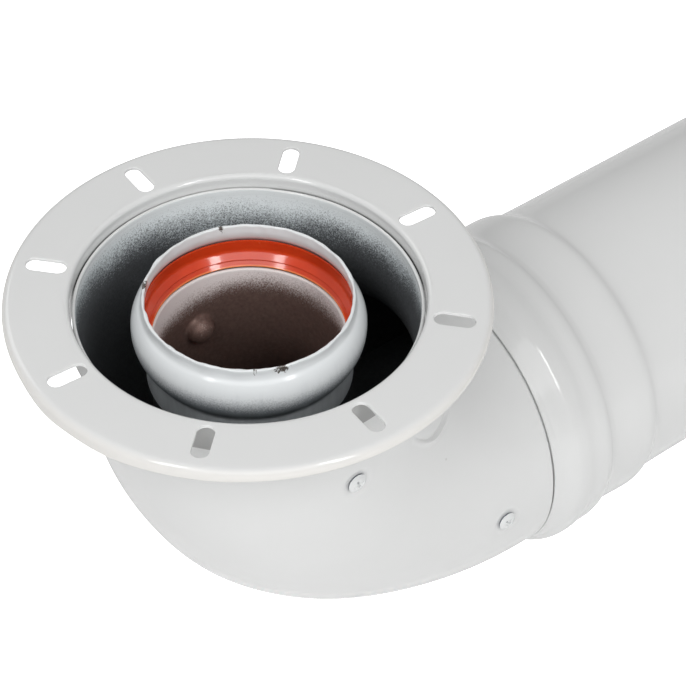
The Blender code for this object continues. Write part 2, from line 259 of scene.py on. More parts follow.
# Surface relief: a height field of noise turned into a normal, for orange peel, cast skin and
# moulded grain, each with its own scale and height.
relief, given, result = new_group(
    "Relief",
    {"Place": None, "Scale": 400.0, "Detail": 1.0, "Strength": 0.3, "Height": 0.00003},
    {"Normal": "NodeSocketVector", "Hill": "NodeSocketFloat"},
)
hills = add(relief, "ShaderNodeTexNoise",
            {"Vector": given["Place"], "Scale": given["Scale"], "Detail": given["Detail"],
             "Roughness": 0.55})
bumped = add(relief, "ShaderNodeBump", {"Height": hills.outputs["Fac"],
             "Strength": given["Strength"], "Distance": given["Height"]})
relief.links.new(bumped.outputs["Normal"], result["Normal"])
relief.links.new(hills.outputs["Fac"], result["Hill"])

# Specks: sparse dots with ragged edges, one to a cell, and only in the share of cells kept.
specks, given, result = new_group(
    "Specks",
    {"Place": None, "Scale": 120.0, "Share": 0.2, "Size": 0.12},
    {"Mask": "NodeSocketFloat"},
)
cells = add(specks, "ShaderNodeTexVoronoi", {"Vector": given["Place"], "Scale": given["Scale"]})
ragged = add(specks, "ShaderNodeTexNoise", {"Vector": given["Place"], "Scale": 2600.0})
chance = add(specks, "ShaderNodeSeparateColor", {"Color": cells.outputs["Color"]})
kept = math_node(specks, "LESS_THAN", chance.outputs[0], given["Share"])
radius = math_node(specks, "MULTIPLY", given["Size"],
                   math_node(specks, "ADD", chance.outputs[1], 0.25))
edge = math_node(specks, "ADD", cells.outputs["Distance"],
                 math_node(specks, "MULTIPLY", ragged.outputs["Fac"], 0.05))
near = math_node(specks, "SUBTRACT", math_node(specks, "ADD", radius, 0.03), edge)
specks.links.new(math_node(specks, "MULTIPLY", ranged(specks, near, 0.0, 0.02), kept),
                 result["Mask"])

cast_alloy, tree, shader, place = new_material("bare cast alloy", Roughness=0.62)
reach = add(tree, "ShaderNodeAttribute", attribute_name="reach").outputs["Fac"]
fog = placed(tree, overspray, Place=place, Reach=reach, Start=0.0165, End=0.0330, Drift=0.5,
             Speckle=1.3)
skin_relief = placed(tree, relief, Place=place, Scale=900.0, Detail=4.0, Strength=0.55,
                     Height=0.00012)
inside = math_node(tree, "GREATER_THAN", reach, 0.0005)
far_end = ranged(tree, reach, 0.10, 0.15)
# Painted light: the tarnish's warm pink-brown and the pinkish overspray colour are partly painted
# reflection of the orange seal's light, and both are lightened to stand in for light reaching down
# the bore; the brown tarnish itself is the casting's own.
tarnish_and_painted_glow = mixed(tree, skin_relief["Hill"], (0.15, 0.095, 0.080), (0.31, 0.215, 0.185))
bore_colour_and_painted_glow = mixed(tree, far_end, tarnish_and_painted_glow, (0.19, 0.19, 0.195))
bore_colour_and_painted_glow = mixed(tree, fog["Cover"], bore_colour_and_painted_glow, (0.82, 0.78, 0.77))
outer_colour = mixed(tree, skin_relief["Hill"], (0.055, 0.057, 0.061), (0.15, 0.155, 0.16))
metal = math_node(tree, "SUBTRACT", 0.7, math_node(tree, "MULTIPLY", fog["Cover"], inside))
feed(tree, shader, Base_Color=mixed(tree, inside, outer_colour, bore_colour_and_painted_glow),
     Metallic=add(tree, "ShaderNodeClamp", {"Value": metal}).outputs[0],
     Normal=skin_relief["Normal"])

fine_spots = [(0.0390, 0.0080, 0.00036), (outlet(0.0646), 0.0065, 0.00036)]
outer_length = spaced(DUCT_TOP + 0.0006, outlet(DUCT_END) - 0.0006, 0.0024, fine_spots)
bore_length = spaced(DUCT_TOP + 0.0010, outlet(DUCT_END) - 0.0004, 0.0020, fine_spots)
profile = np.concatenate([
    np.stack([outer_length, np.full_like(outer_length, DUCT_R)], -1),
    arc((outlet(DUCT_END) - 0.0005, DUCT_BORE + 0.0006), 0.0006, 90, -90, 8),
    np.stack([bore_length[::-1], np.full_like(bore_length, DUCT_BORE)], -1),
    arc((DUCT_TOP + 0.0006, DUCT_BORE + 0.0006), 0.0006, -90, -270, 8)[:-1],
])
angles = spaced(-math.pi, math.pi, 0.062,
                [(side * math.pi / 2, 0.24, 0.0125) for side in (-1, 1)])[:-1]
rings = carried(profile, angles)
is_bore = (profile[:, 1] < DUCT_R - 0.0002)[:, None]
marks = np.where(is_bore, profile[:, :1] + 0.0030 * np.cos(angles), 0.0)
for (at, flank), spot in SCREW_SPOTS.items():
    away = from_screw(rings, spot)
    side = FLANKS[flank]
    on_flank = side * rings[..., 1] > 0.015
    dome = BOSS_RISE * np.clip(1 - (away / BOSS_R) ** 2, 0, 1) ** 0.5
    dome += 0.0005 * (1 - smooth(away, BOSS_R - 0.0002, BOSS_R + 0.0012))
    pad = (1 - smooth(away, PAD_R - 0.0002, PAD_R + 0.0004)) * on_flank * ~is_bore
    rings[..., 1] += pad * (PAD_FACE * side - rings[..., 1])
    rings[..., 1] -= side * dome * on_flank * is_bore
    marks -= 1.5 * dome * on_flank * is_bore
duct = skin("cast_duct", rings, reach=marks)
duct.data.materials.append(cast_alloy)
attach(duct, "elbow")
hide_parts("inner_elbow")

# ---------------------------------------------------------------------------------------------
# Inlet socket. A short aluminium sleeve swaged out into a bead that holds the seal, pressed over
# the duct's neck. It takes the same white spray as the casing down to its bead, unevenly, and its
# raw rim is a little wavy and chipped by handling. Its white is lighter than the casing's as
# painted light, and below the bead it carries painted shade and a lighter, painted-light neck.
SOCKET_FOOT = 0.0315


def flow(points, step):
    """Points about step apart on a smooth curve through the given ones.

    The curve is a cubic Hermite spline over the summed distances between the points, with each
    point's slope taken from its two neighbours."""
    points = np.asarray(points, float)
    along = np.concatenate([[0], np.cumsum(np.hypot(*np.diff(points, axis=0).T))])
    slope = np.gradient(points, along, axis=0)
    u = np.linspace(0, along[-1], max(2, math.ceil(along[-1] / step)) + 1)
    k = np.clip(np.searchsorted(along, u, side="right") - 1, 0, len(along) - 2)
    h = (along[k + 1] - along[k])[:, None]
    t = ((u - along[k])[:, None]) / h
    return ((2 * t**3 - 3 * t**2 + 1) * points[k] + (t**3 - 2 * t**2 + t) * h * slope[k]
            + (3 * t**2 - 2 * t**3) * points[k + 1] + (t**3 - t**2) * h * slope[k + 1])


def ripple(angles, seed, lowest, highest):
    """A wavy line round a ring, about -1 to 1: sines with whole numbers of waves, random phases."""
    rng = np.random.default_rng(seed)
    waves = np.arange(lowest, highest + 1)
    size = rng.uniform(0.3, 1.0, waves.size) / np.sqrt(waves)
    phase = rng.uniform(0, math.tau, waves.size)
    line = (size[:, None] * np.sin(waves[:, None] * angles + phase[:, None])).sum(0)
    return line / np.abs(line).max()


sprayed, tree, shader, place = new_material("sprayed sleeve", Roughness=0.22)
height = add(tree, "ShaderNodeSeparateXYZ", {"Vector": place}).outputs["Z"]
down = math_node(tree, "MULTIPLY", height, -1.0)
fog = placed(tree, overspray, Place=place, Reach=down, Start=0.0070, End=0.0185, Drift=0.5,
             Speckle=0.9)
upright = add(tree, "ShaderNodeMapping", {"Vector": place, "Scale": (1.0, 1.0, 0.07)})
runs = add(tree, "ShaderNodeTexNoise", {"Vector": upright.outputs[0], "Scale": 260.0,
           "Detail": 3.0, "Roughness": 0.6})
streak = ranged(tree, runs.outputs["Fac"], 0.52, 0.72)
streak = math_node(tree, "MULTIPLY", math_node(tree, "MULTIPLY", streak, 0.45),
                   ranged(tree, down, 0.006, 0.018))
# Painted light: this white is lighter than the casing's own white of the same spray, standing in
# for light on the socket's inner wall and bead.
spray_white_and_painted_light = mixed(tree, streak, (0.83, 0.855, 0.865), (0.40, 0.43, 0.46))
# Painted shade and light: the dark band under the bead is partly bare metal and partly painted
# shade, and below it the neck is coloured lighter as painted light.
bare = mixed(tree, runs.outputs["Fac"], (0.15, 0.165, 0.18), (0.31, 0.34, 0.365))
painted_light_neck = mixed(tree, runs.outputs["Fac"], (0.42, 0.45, 0.47), (0.74, 0.77, 0.79))
bare = mixed(tree, ranged(tree, down, 0.0195, 0.0225), bare, painted_light_neck)
colour = mixed(tree, fog["Cover"], bare, spray_white_and_painted_light)
scuff = add(tree, "ShaderNodeAttribute", attribute_name="scuff").outputs["Fac"]
flakes = add(tree, "ShaderNodeTexNoise", {"Vector": place, "Scale": 900.0, "Detail": 4.0,
             "Roughness": 0.65}).outputs["Fac"]
chipped = ranged(tree, math_node(tree, "ADD", flakes, scuff), 1.02, 1.12)
peel = placed(tree, relief, Place=place, Scale=420.0, Detail=2.0, Strength=0.35, Height=0.00006)
feed(tree, shader, Base_Color=mixed(tree, chipped, colour, (0.10, 0.085, 0.075)),
     Roughness=ranged(tree, fog["Cover"], 0.0, 1.0, 0.55, 0.16), Normal=peel["Normal"])

sleeve = np.concatenate([
    flow([(0.0014, 0.0319), (0.0032, 0.0320), (0.0045, 0.0324), (0.0056, 0.0333), (0.0072, 0.0343),
          (0.0095, 0.03515), (0.0122, 0.0354), (0.0150, 0.0351), (0.0176, 0.0342),
          (0.0198, 0.0328), (0.0214, 0.0319), (0.0235, 0.03155),
          (SOCKET_FOOT - 0.0002, 0.0315)], 0.0004),
    [(SOCKET_FOOT, 0.0313), (SOCKET_FOOT, 0.0306)],
    flow([(SOCKET_FOOT - 0.0002, 0.0304), (0.0220, 0.0304), (0.0205, 0.0308), (0.0190, 0.0318),
          (0.0168, 0.0333), (0.0148, 0.0341), (0.0122, 0.0344), (0.0103, 0.0341),
          (0.0090, 0.0334), (0.0078, 0.0324), (0.0064, 0.0315), (0.0048, 0.0310),
          (0.0014, 0.0309)], 0.0004),
    arc((0.0014, 0.0314), 0.0005, -90, -270, 10)[1:-1],
])
angles = np.linspace(-math.pi, math.pi, 289)[:-1]
rings = carried(sleeve, angles)
# The raw rim is wavy: up and down by RIM_DIP, and in and out by RIM_WAVE, dying out below it.
RIM_DIP, RIM_WAVE = 0.00022, 0.00024
near_rim = 1 - smooth(sleeve[:, 0], 0.0012, 0.0060)
is_inside = sleeve[:, 1] < 0.0314
wave = np.where(is_inside[:, None], ripple(angles, 7, 9, 60), ripple(angles, 3, 5, 26))
rings[..., 2] -= RIM_DIP * near_rim[:, None] * (1 + ripple(angles, 11, 3, 34))
radial = np.stack([np.cos(angles), np.sin(angles), 0 * angles], -1)
rings += radial * (RIM_WAVE * near_rim[:, None] * wave)[..., None]
# Chips in the coat, at these angles round the rim and this wide, in radians.
dents = sum(0.66 * np.exp(-(((angles - at + math.pi) % math.tau - math.pi) / width) ** 2)
            for at, width in ((-1.90, 0.13), (-2.15, 0.03), (2.35, 0.12), (1.2, 0.05)))
socket = skin("swaged_socket", rings,
              scuff=(1 - smooth(sleeve[:, 0], 0.0016, 0.0062))[:, None] * dents)
socket.data.materials.append(sprayed)
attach(socket, "elbow")
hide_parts("inlet_socket")

# ---------------------------------------------------------------------------------------------
# Inlet seal. Moulded silicone ring that fills the socket's bead: an upright wall, then two fins
# that slope in to the lip that grips the boiler's flue pipe. It is left glossy by its mould and
# lets light through where it is thin; the lip's lighter orange is a painted glow for that light.
silicone, tree, shader, place = new_material(
    "orange silicone", Roughness=0.16, Coat_Weight=0.7, Coat_Roughness=0.07, IOR=1.43,
    Subsurface_Weight=0.18, Subsurface_Scale=0.0025, Subsurface_Radius=(1.0, 0.25, 0.08))
thin = add(tree, "ShaderNodeAttribute", attribute_name="thin").outputs["Fac"]
clouds = add(tree, "ShaderNodeTexNoise", {"Vector": place, "Scale": 150.0, "Detail": 3.0})
body = mixed(tree, clouds.outputs["Fac"], (0.62, 0.046, 0.010), (0.76, 0.072, 0.017))
dust = placed(tree, specks, Place=place, Scale=330.0, Share=0.14, Size=0.16)
rough = math_node(tree, "ADD", ranged(tree, clouds.outputs["Fac"], 0.0, 1.0, 0.09, 0.20),
                  math_node(tree, "MULTIPLY", dust["Mask"], 0.4))
mould = placed(tree, relief, Place=place, Scale=300.0, Detail=1.0, Strength=0.25, Height=0.00005)
# Painted glow: where thin is set, the body turns a lighter orange, standing in for light shining
# through the lip.
feed(tree, shader, Base_Color=mixed(tree, thin, body, (0.98, 0.30, 0.10)), Roughness=rough,
     Normal=mould["Normal"])

lip_section = np.concatenate([
    flow([(0.0081, 0.0322), (0.0080, 0.0320), (0.0084, 0.03185), (0.0090, 0.03185),
          (0.0105, 0.0319), (0.0120, 0.0319), (0.0125, 0.03175)], 0.00015),
    np.linspace((0.0128, 0.0315), (0.0143, 0.0300), 9),
    [(0.0145, 0.0300), (0.0147, 0.0302), (0.0148, 0.0304)],
    np.linspace((0.01495, 0.03035), (0.0162, 0.0292), 8),
    flow([(0.0165, 0.0292), (0.0168, 0.0296), (0.0166, 0.0302), (0.0161, 0.0312),
          (0.0161, 0.0326)], 0.0003),
    flow([(0.0159, 0.0331), (0.0145, 0.0337), (0.0122, 0.0340), (0.0102, 0.0337),
          (0.0090, 0.0330), (0.0083, 0.0325)], 0.0004),
])
rings = carried(lip_section, np.linspace(-math.pi, math.pi, 257)[:-1])
# Painted glow mask: the lip's thin edge, coloured lighter to stand in for light through it.
painted_lip_glow = (smooth(lip_section[:, 0], 0.0158, 0.0163)
            * (1 - smooth(lip_section[:, 1], 0.0295, 0.0302)))
seal = skin("silicone_seal", rings, thin=painted_lip_glow)
seal.data.materials.append(silicone)
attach(seal, "elbow")
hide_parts("inlet_seal")

# ---------------------------------------------------------------------------------------------
# Distance bushes. Four short turned zinc tubes that hold the duct in the middle of the casing;
# a screw runs through each one.
BUSH_R, BUSH_BORE = 0.0050, 0.0020
BUSH_IN, BUSH_OUT = PAD_FACE + 0.0003, 0.0494


def sideways(spot, side, profile, angles):
    """A profile of (distance along Y, radius) pairs turned about the screw axis on one flank."""
    y, radius = np.asarray(profile, float).T
    x = spot[0] + radius[:, None] * np.cos(angles)
    z = spot[1] + radius[:, None] * np.sin(angles)
    return np.stack([x, np.broadcast_to(side * y[:, None], x.shape), z], -1)


def grained(name, hollow, hill, smoothest, roughest, metal=0.0, **grain):
    """A material of one grain: its colour and roughness go from hollow to hill of one relief."""
    made, tree, shader, place = new_material(name, Metallic=metal)
    skin_grain = placed(tree, relief, Place=place, **grain)
    feed(tree, shader, Base_Color=mixed(tree, skin_grain["Hill"], hollow, hill),
         Roughness=ranged(tree, skin_grain["Hill"], 0.0, 1.0, smoothest, roughest),
         Normal=skin_grain["Normal"])
    return made


zinc = grained("dull zinc", (0.30, 0.31, 0.33), (0.50, 0.51, 0.53), 0.30, 0.60, metal=0.85,
               Scale=1500.0, Detail=3.0, Strength=0.35, Height=0.00004)
edge = 0.0004
bush_section = np.concatenate([
    arc((BUSH_IN + edge, BUSH_R - edge), edge, 180, 90, 5),
    arc((BUSH_OUT - edge, BUSH_R - edge), edge, 90, 0, 5),
    arc((BUSH_OUT - edge, BUSH_BORE + edge), edge, 0, -90, 5),
    arc((BUSH_IN + edge, BUSH_BORE + edge), edge, 270, 180, 5),
])
around = np.linspace(0, math.tau, 49)[:-1]
for (at, flank), spot in SCREW_SPOTS.items():
    bush = skin(f"distance_bush_{at}_{flank}", sideways(spot, FLANKS[flank], bush_section, around))
    bush.data.materials.append(zinc)
    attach(bush, "elbow")
    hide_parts(f"bush_{at}_{flank}")

# ---------------------------------------------------------------------------------------------
# Outer casing. Deep-drawn sheet steel: a swelled mouth that fits inside the flange, one long
# bend, and a stepped spigot for the flue pipe. Coated in gloss white outside; inside, only the
# mouth catches the spray. Pressed dimples take the screws, and the drawing left a small fold on
# the inside of the bend.
CASE_R, CASE_WALL, CASE_BEND = 0.0510, 0.0010, 0.0800
MOUTH_R, MOUTH_TOP = 0.0526, 0.0043
CASE_END, SPIGOT_R, SPIGOT_END = 0.0846, 0.0497, 0.1270
FOLD = ((22.0, -63.0), (36.0, -56.5), (47.0, -44.0))     # bend angle and angle round, in degrees
HEEL_SWELL, HEEL_FLAT = (34.0, 7.0, 0.0005), (65.0, 18.0, 0.00095)   # bend angle, width, height


def casing_outlet(x):
    """Length along the casing's axis at which it lies x out from the boiler axis."""
    return DROP - CASE_BEND + CASE_BEND * math.pi / 2 + x - CASE_BEND


def from_axis(tree, place):
    """Distance from the boiler axis: the root of the sum of the squares of X and Y."""
    parts = add(tree, "ShaderNodeSeparateXYZ", {"Vector": place}).outputs
    squares = [math_node(tree, "MULTIPLY", parts[axis], parts[axis]) for axis in "XY"]
    return math_node(tree, "SQRT", math_node(tree, "ADD", *squares))


def enamel(name, tint, warm):
    """Gloss white enamel: a faint slow mottle, tiny dust nibs and soft orange peel.

    tint is its colour and warm how far it yellows on the flange's outer edge. Comes with its
    colour as a socket, for the piece to lay its own wear over before it goes to the shader."""
    made, tree, shader, place = new_material(name, tint, Roughness=0.17)
    mottle = add(tree, "ShaderNodeTexNoise",
                 {"Vector": place, "Scale": 26.0, "Detail": 3.0, "Roughness": 0.6})
    colour = mixed(tree, mottle.outputs["Fac"], tuple(0.975 * c for c in tint),
                   tuple(min(1.02 * c, 1.0) for c in tint))
    dust = placed(tree, specks, Place=place, Scale=95.0, Share=0.16, Size=0.045)
    colour = mixed(tree, math_node(tree, "MULTIPLY", dust["Mask"], 0.30), colour,
                   (0.34, 0.33, 0.31))
    edge = ranged(tree, from_axis(tree, place), 0.0712, 0.0727, 0.0, warm)
    peel = placed(tree, relief, Place=place, Scale=330.0, Detail=1.5, Strength=0.22,
                  Height=0.00005)
    feed(tree, shader, Normal=peel["Normal"],
         Roughness=ranged(tree, mottle.outputs["Fac"], 0.0, 1.0, 0.07, 0.15))
    return made, tree, shader, place, mixed(tree, edge, colour, (0.83, 0.80, 0.755))


WHITE = (0.775, 0.78, 0.775)
cased, tree, shader, place, colour = enamel("casing enamel", WHITE, 0.0)
reach = add(tree, "ShaderNodeAttribute", attribute_name="reach").outputs["Fac"]
fog = placed(tree, overspray, Place=place, Reach=reach, Start=-0.0010, End=0.0225, Drift=0.5)
# Painted light: the lining is lighter than the outside white, standing in for light falling in
# through the mouth; it turns greyer deeper in.
lining_with_painted_light = mixed(tree, ranged(tree, reach, 0.0006, 0.0140), (0.86, 0.885, 0.89),
               (0.74, 0.80, 0.825))
raw = add(tree, "ShaderNodeTexNoise", {"Vector": place, "Scale": 1400.0, "Detail": 3.0})
primer = mixed(tree, raw.outputs["Fac"], (0.030, 0.032, 0.035), (0.150, 0.157, 0.165))
lined = math_node(tree, "GREATER_THAN", reach, 0.0003)
colour = mixed(tree, fog["Cover"], primer, mixed(tree, lined, colour, lining_with_painted_light))
# Painted shade: the band of the outside under the flange's collar is coloured near black for the
# shade in the gap.
crevice = add(tree, "ShaderNodeAttribute", attribute_name="crevice").outputs["Fac"]
feed(tree, shader, Base_Color=mixed(tree, crevice, colour, (0.025, 0.027, 0.030)),
     Roughness=ranged(tree, reach, 0.001, 0.006, 0.17, 0.50))

fold_middle = DROP - CASE_BEND + CASE_BEND * math.radians(36)
fine_spots = [(0.0390, 0.0090, 0.0006), (casing_outlet(0.0646), 0.0075, 0.0006),
              (fold_middle, 0.0235, 0.00062)]
taper = np.array([(0.0052, MOUTH_R), (0.0075, MOUTH_R), (0.0110, 0.0522), (0.0165, 0.0515),
                  (0.0200, 0.0511), (0.0219, CASE_R)])
outer_length = spaced(0.0228, casing_outlet(CASE_END) - 0.0004, 0.0024, fine_spots)
bore_length = spaced(0.0228, casing_outlet(CASE_END) - 0.0020, 0.0030)
outer_wall = np.concatenate([
    arc((MOUTH_TOP + 0.0005, MOUTH_R - 0.0005), 0.0005, 180, 90, 5),
    flow(taper, 0.0008),
    np.stack([outer_length, np.full_like(outer_length, CASE_R)], -1),
    arc((casing_outlet(CASE_END) - 0.0003, CASE_R - 0.0003), 0.0003, 90, 0, 4)[1:],
    [(casing_outlet(CASE_END) + 0.0002, SPIGOT_R)],
    flow([(casing_outlet(CASE_END) + 0.0010, SPIGOT_R),
          (casing_outlet(SPIGOT_END) - 0.0040, SPIGOT_R),
          (casing_outlet(SPIGOT_END) - 0.0004, SPIGOT_R - 0.0004)], 0.0030),
    arc((casing_outlet(SPIGOT_END) - 0.0003, SPIGOT_R - 0.0008), 0.0003, 60, -90, 5),
])
inner_wall = np.concatenate([
    flow([(casing_outlet(SPIGOT_END) - 0.0020, SPIGOT_R - 0.0011),
          (casing_outlet(CASE_END), SPIGOT_R - 0.0010)], 0.0040),
    np.stack([bore_length[::-1], np.full_like(bore_length, CASE_R - CASE_WALL)], -1),
    flow(taper[::-1] - (0.0, CASE_WALL), 0.0008),
    arc((MOUTH_TOP + 0.0005, MOUTH_R - 0.0005), 0.0005, 270, 180, 5)[:-1],
])
profile = np.concatenate([outer_wall, inner_wall])
angles = spaced(-math.pi, math.pi, 0.040,
                [(-math.pi / 2, 0.15, 0.0125), (math.pi / 2, 0.15, 0.0125),
                 (math.radians(-54), 0.27, 0.0125)])[:-1]
rings = carried(profile, angles, CASE_BEND)
centres = carried(profile * (1, 0), angles[:1], CASE_BEND)
outward = (rings - centres) / np.linalg.norm(rings - centres, axis=-1, keepdims=True)
lengths = profile[:, :1]
on_outside = (np.arange(len(profile)) < len(outer_wall))[:, None]
sunk = np.zeros(rings.shape[:2])
for (at, flank), spot in SCREW_SPOTS.items():
    away = from_screw(rings, spot)
    dimple = 0.00042 * (1 - smooth(away, 0.0036, 0.0054)) - 0.00006 * np.exp(
        -((away - 0.0058) / 0.0005) ** 2)
    sunk += dimple * (FLANKS[flank] * rings[..., 1] > 0.03)
# The fold is a raised lip along a short curved track, with a crease and a low swell beside it.
# Distance from the track is taken over the skin: degrees of bend and degrees round, in metres.
BEND_DEGREE, ROUND_DEGREE = 0.00095, 0.00089
bend_angle = np.degrees((lengths - (DROP - CASE_BEND)) / CASE_BEND)
round_angle = np.degrees(angles)[None]
track = flow(FOLD, 0.35)
share = np.linspace(0, 1, len(track))
from_track = (np.stack([(bend_angle - b) * BEND_DEGREE for b, _ in track]) ** 2
              + np.stack([(round_angle - a) * ROUND_DEGREE for _, a in track]) ** 2)
nearest = from_track.argmin(0)
distance = np.sqrt(from_track.min(0))
crotch_side = np.sign((round_angle - track[nearest, 1]) * 0.55
                      + (bend_angle - track[nearest, 0]) * -0.45)
ends = np.sin(math.pi * share[nearest]) ** 0.6
signed = distance * crotch_side
lip = 0.00060 * np.exp(-((signed + 0.0001) / 0.0008) ** 2)
crease = 0.00055 * np.exp(-((signed - 0.0011) / 0.00055) ** 2)
swell = 0.00025 * smooth(signed, 0.0010, 0.0024) * (1 - smooth(signed, 0.0024, 0.0110))
sunk -= (lip - crease + swell) * ends * (distance < 0.012)
# The mouth is a little out of round: it springs in just before the sheet's welded seam.
SEAM_ANGLE = 0.78
in_mouth = 1 - smooth(lengths, 0.0120, 0.0180)
past_seam = (angles - SEAM_ANGLE) % math.tau
sprung = 0.00030 * np.exp(-((math.tau - past_seam) / 0.9)) * (past_seam > 0.02)
sprung = sprung + 0.00010 * (1 + ripple(angles, 5, 2, 7))
sunk = np.where(on_outside | (in_mouth > 0), sunk + in_mouth * sprung[None], 0.0)
rings -= outward * sunk[..., None]
heel = smooth(-np.cos(angles), 0.05, 0.75)
for sign, (at, width, height) in ((1, HEEL_SWELL), (-1, HEEL_FLAT)):
    bell = np.exp(-(((np.clip(bend_angle, 0, 90) - at) / width) ** 2))
    rings += outward * (sign * height * bell * heel)[..., None]
# Paint reaches less far down the side of the mouth that the spray gun stood on.
GUN_ANGLE, SHADOW = math.radians(54), 0.0190
sheltered = SHADOW * (1 - np.cos(angles - GUN_ANGLE)) / 2
from_mouth = np.maximum(lengths - MOUTH_TOP, 0) + sheltered * smooth(lengths, MOUTH_TOP, 0.0100)
from_spigot = np.maximum(casing_outlet(SPIGOT_END) - lengths, 0)
reach_marks = np.where(on_outside, 0.0, np.minimum(from_mouth, from_spigot))
# Painted shade mask: the band of the outside hidden under the flange's collar.
collar_shade = smooth(lengths, 0.0052, 0.0066) * (1 - smooth(lengths, 0.0112, 0.0120)) * on_outside
casing = skin("enamelled_casing", rings, reach=reach_marks, crevice=collar_shade[:, 0])
casing.data.materials.append(cased)
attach(casing, "elbow")
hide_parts("outer_elbow")

# ---------------------------------------------------------------------------------------------
# Screws. Pan-headed steel screws with a cross recess, driven before the casing was painted: the
# coat is thin and broken in the recess, where the driver bit has been, and on the head's edge.
HEAD_R, HEAD_SEAT, HEAD_TOP, SHANK_R = 0.0033, 0.0506, 0.0523, 0.0015
RECESS_LONG, RECESS_WIDE, RECESS_DEEP = 0.00175, 0.00040, 0.00095
painted_screw, tree, shader, place = new_material("painted screw", Roughness=0.2)
worn = add(tree, "ShaderNodeAttribute", attribute_name="worn").outputs["Fac"]
chips = add(tree, "ShaderNodeTexNoise", {"Vector": place, "Scale": 1500.0, "Detail": 3.0,
            "Roughness": 0.7})
bare_spots = ranged(tree, math_node(tree, "ADD", chips.outputs["Fac"], worn), 0.94, 1.02)
steel = mixed(tree, chips.outputs["Fac"], (0.03, 0.035, 0.045), (0.33, 0.36, 0.42))
peel = placed(tree, relief, Place=place, Scale=900.0, Detail=2.0, Strength=0.3, Height=0.00005)
feed(tree, shader, Base_Color=mixed(tree, bare_spots, (0.78, 0.79, 0.79), steel),
     Metallic=math_node(tree, "MULTIPLY", bare_spots, 0.7), Normal=peel["Normal"])

head_radius = np.concatenate([np.linspace(0.00004, 0.0021, 34), np.linspace(0.0022, HEAD_R, 12)])
dome = HEAD_TOP - 0.0002 - 0.0009 * (head_radius / HEAD_R) ** 3.2
thread = np.linspace(0.0274, HEAD_SEAT - 0.0010, 96)
shank = np.stack([thread, SHANK_R - 0.00018 + 0.00018 * np.cos(thread / 0.0008 * math.tau)], -1)
screw_section = np.concatenate([
    [(0.0268, 0.0003), (0.0270, 0.0009)], shank, [(HEAD_SEAT - 0.0002, SHANK_R)],
    [(HEAD_SEAT - 0.00002, HEAD_R - 0.0002)],
    arc((HEAD_SEAT + 0.0003, HEAD_R - 0.00025), 0.00025, 180, 90, 4),
    np.stack([dome, head_radius], -1)[::-1],
])
angles = np.linspace(0, math.tau, 97)[:-1]
on_head = (np.arange(len(screw_section)) >= len(screw_section) - len(dome))[:, None]
for number, ((at, flank), spot) in enumerate(SCREW_SPOTS.items()):
    side = FLANKS[flank]
    rings = sideways(spot, side, screw_section, angles)
    turned_by = math.radians(18 + 47 * (number % 2) + 31 * (number // 2))
    x, z = rings[..., 0] - spot[0], rings[..., 2] - spot[1]
    u = np.abs(x * math.cos(turned_by) + z * math.sin(turned_by))
    v = np.abs(z * math.cos(turned_by) - x * math.sin(turned_by))
    arm = np.minimum(np.maximum(u - RECESS_LONG, v - RECESS_WIDE),
                     np.maximum(v - RECESS_LONG, u - RECESS_WIDE))
    cut = 1 - smooth(arm, -0.00030, 0.00004)
    away = np.hypot(x, z)
    rings[..., 1] -= side * RECESS_DEEP * cut * on_head * (1 - away / 0.0036)
    rim = smooth(away, HEAD_R - 0.0005, HEAD_R)
    screw = skin(f"cross_screw_{at}_{flank}", rings, cyclic=False,
                 worn=np.where(on_head, 0.46 * cut + 0.26 * rim, 0.9))
    screw.data.materials.append(painted_screw)
    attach(screw, "elbow")
    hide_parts(f"screw_{at}_{flank}")

# ---------------------------------------------------------------------------------------------
# Boiler flange. A ring pressed from steel sheet: its bore is turned down into a collar round the
# casing's mouth, its rim is rolled down into a skirt, and eight slots take the fixing screws. The
# coat is thick enough to round every punched edge.
FLANGE_R, FLANGE_T, EDGE_ROLL = 0.0728, 0.0012, 0.0024
COLLAR_R, COLLAR_ROLL, COLLAR_FOOT, SKIRT_FOOT = 0.0530, 0.0015, 0.0118, 0.0037
SKIRT_DROOPS = ((180, 9, 0.0019), (199, 14, 0.00175), (222, 12, 0.0005))  # place, width, depth
SLOTS, SLOT_IN, SLOT_OUT, SLOT_WIDE = 8, 0.0555, 0.0680, 0.0052
SLOT_TURN = math.radians(-3.4)
BURR_ANGLE = -2.72                       # where the collar's punched edge kept a ragged burr
PER_SLOT, PER_SIDE = 32, 12              # points along a sector's arcs and along its sides
FACE_IN, FACE_OUT = COLLAR_R + COLLAR_ROLL, FLANGE_R - EDGE_ROLL


def quads_of(grid_shape, cyclic):
    """Corner numbers of a grid's faces, with its second direction closed if cyclic."""
    count, around = grid_shape
    i = np.arange(count - 1)[:, None]
    j = np.arange(around if cyclic else around - 1)[None]
    beside = (j + 1) % around
    corners = [i * around + j, i * around + beside, (i + 1) * around + beside, (i + 1) * around + j]
    shape = (len(i), j.shape[1])
    return np.stack([np.broadcast_to(c, shape) for c in corners], -1).reshape(-1, 4)


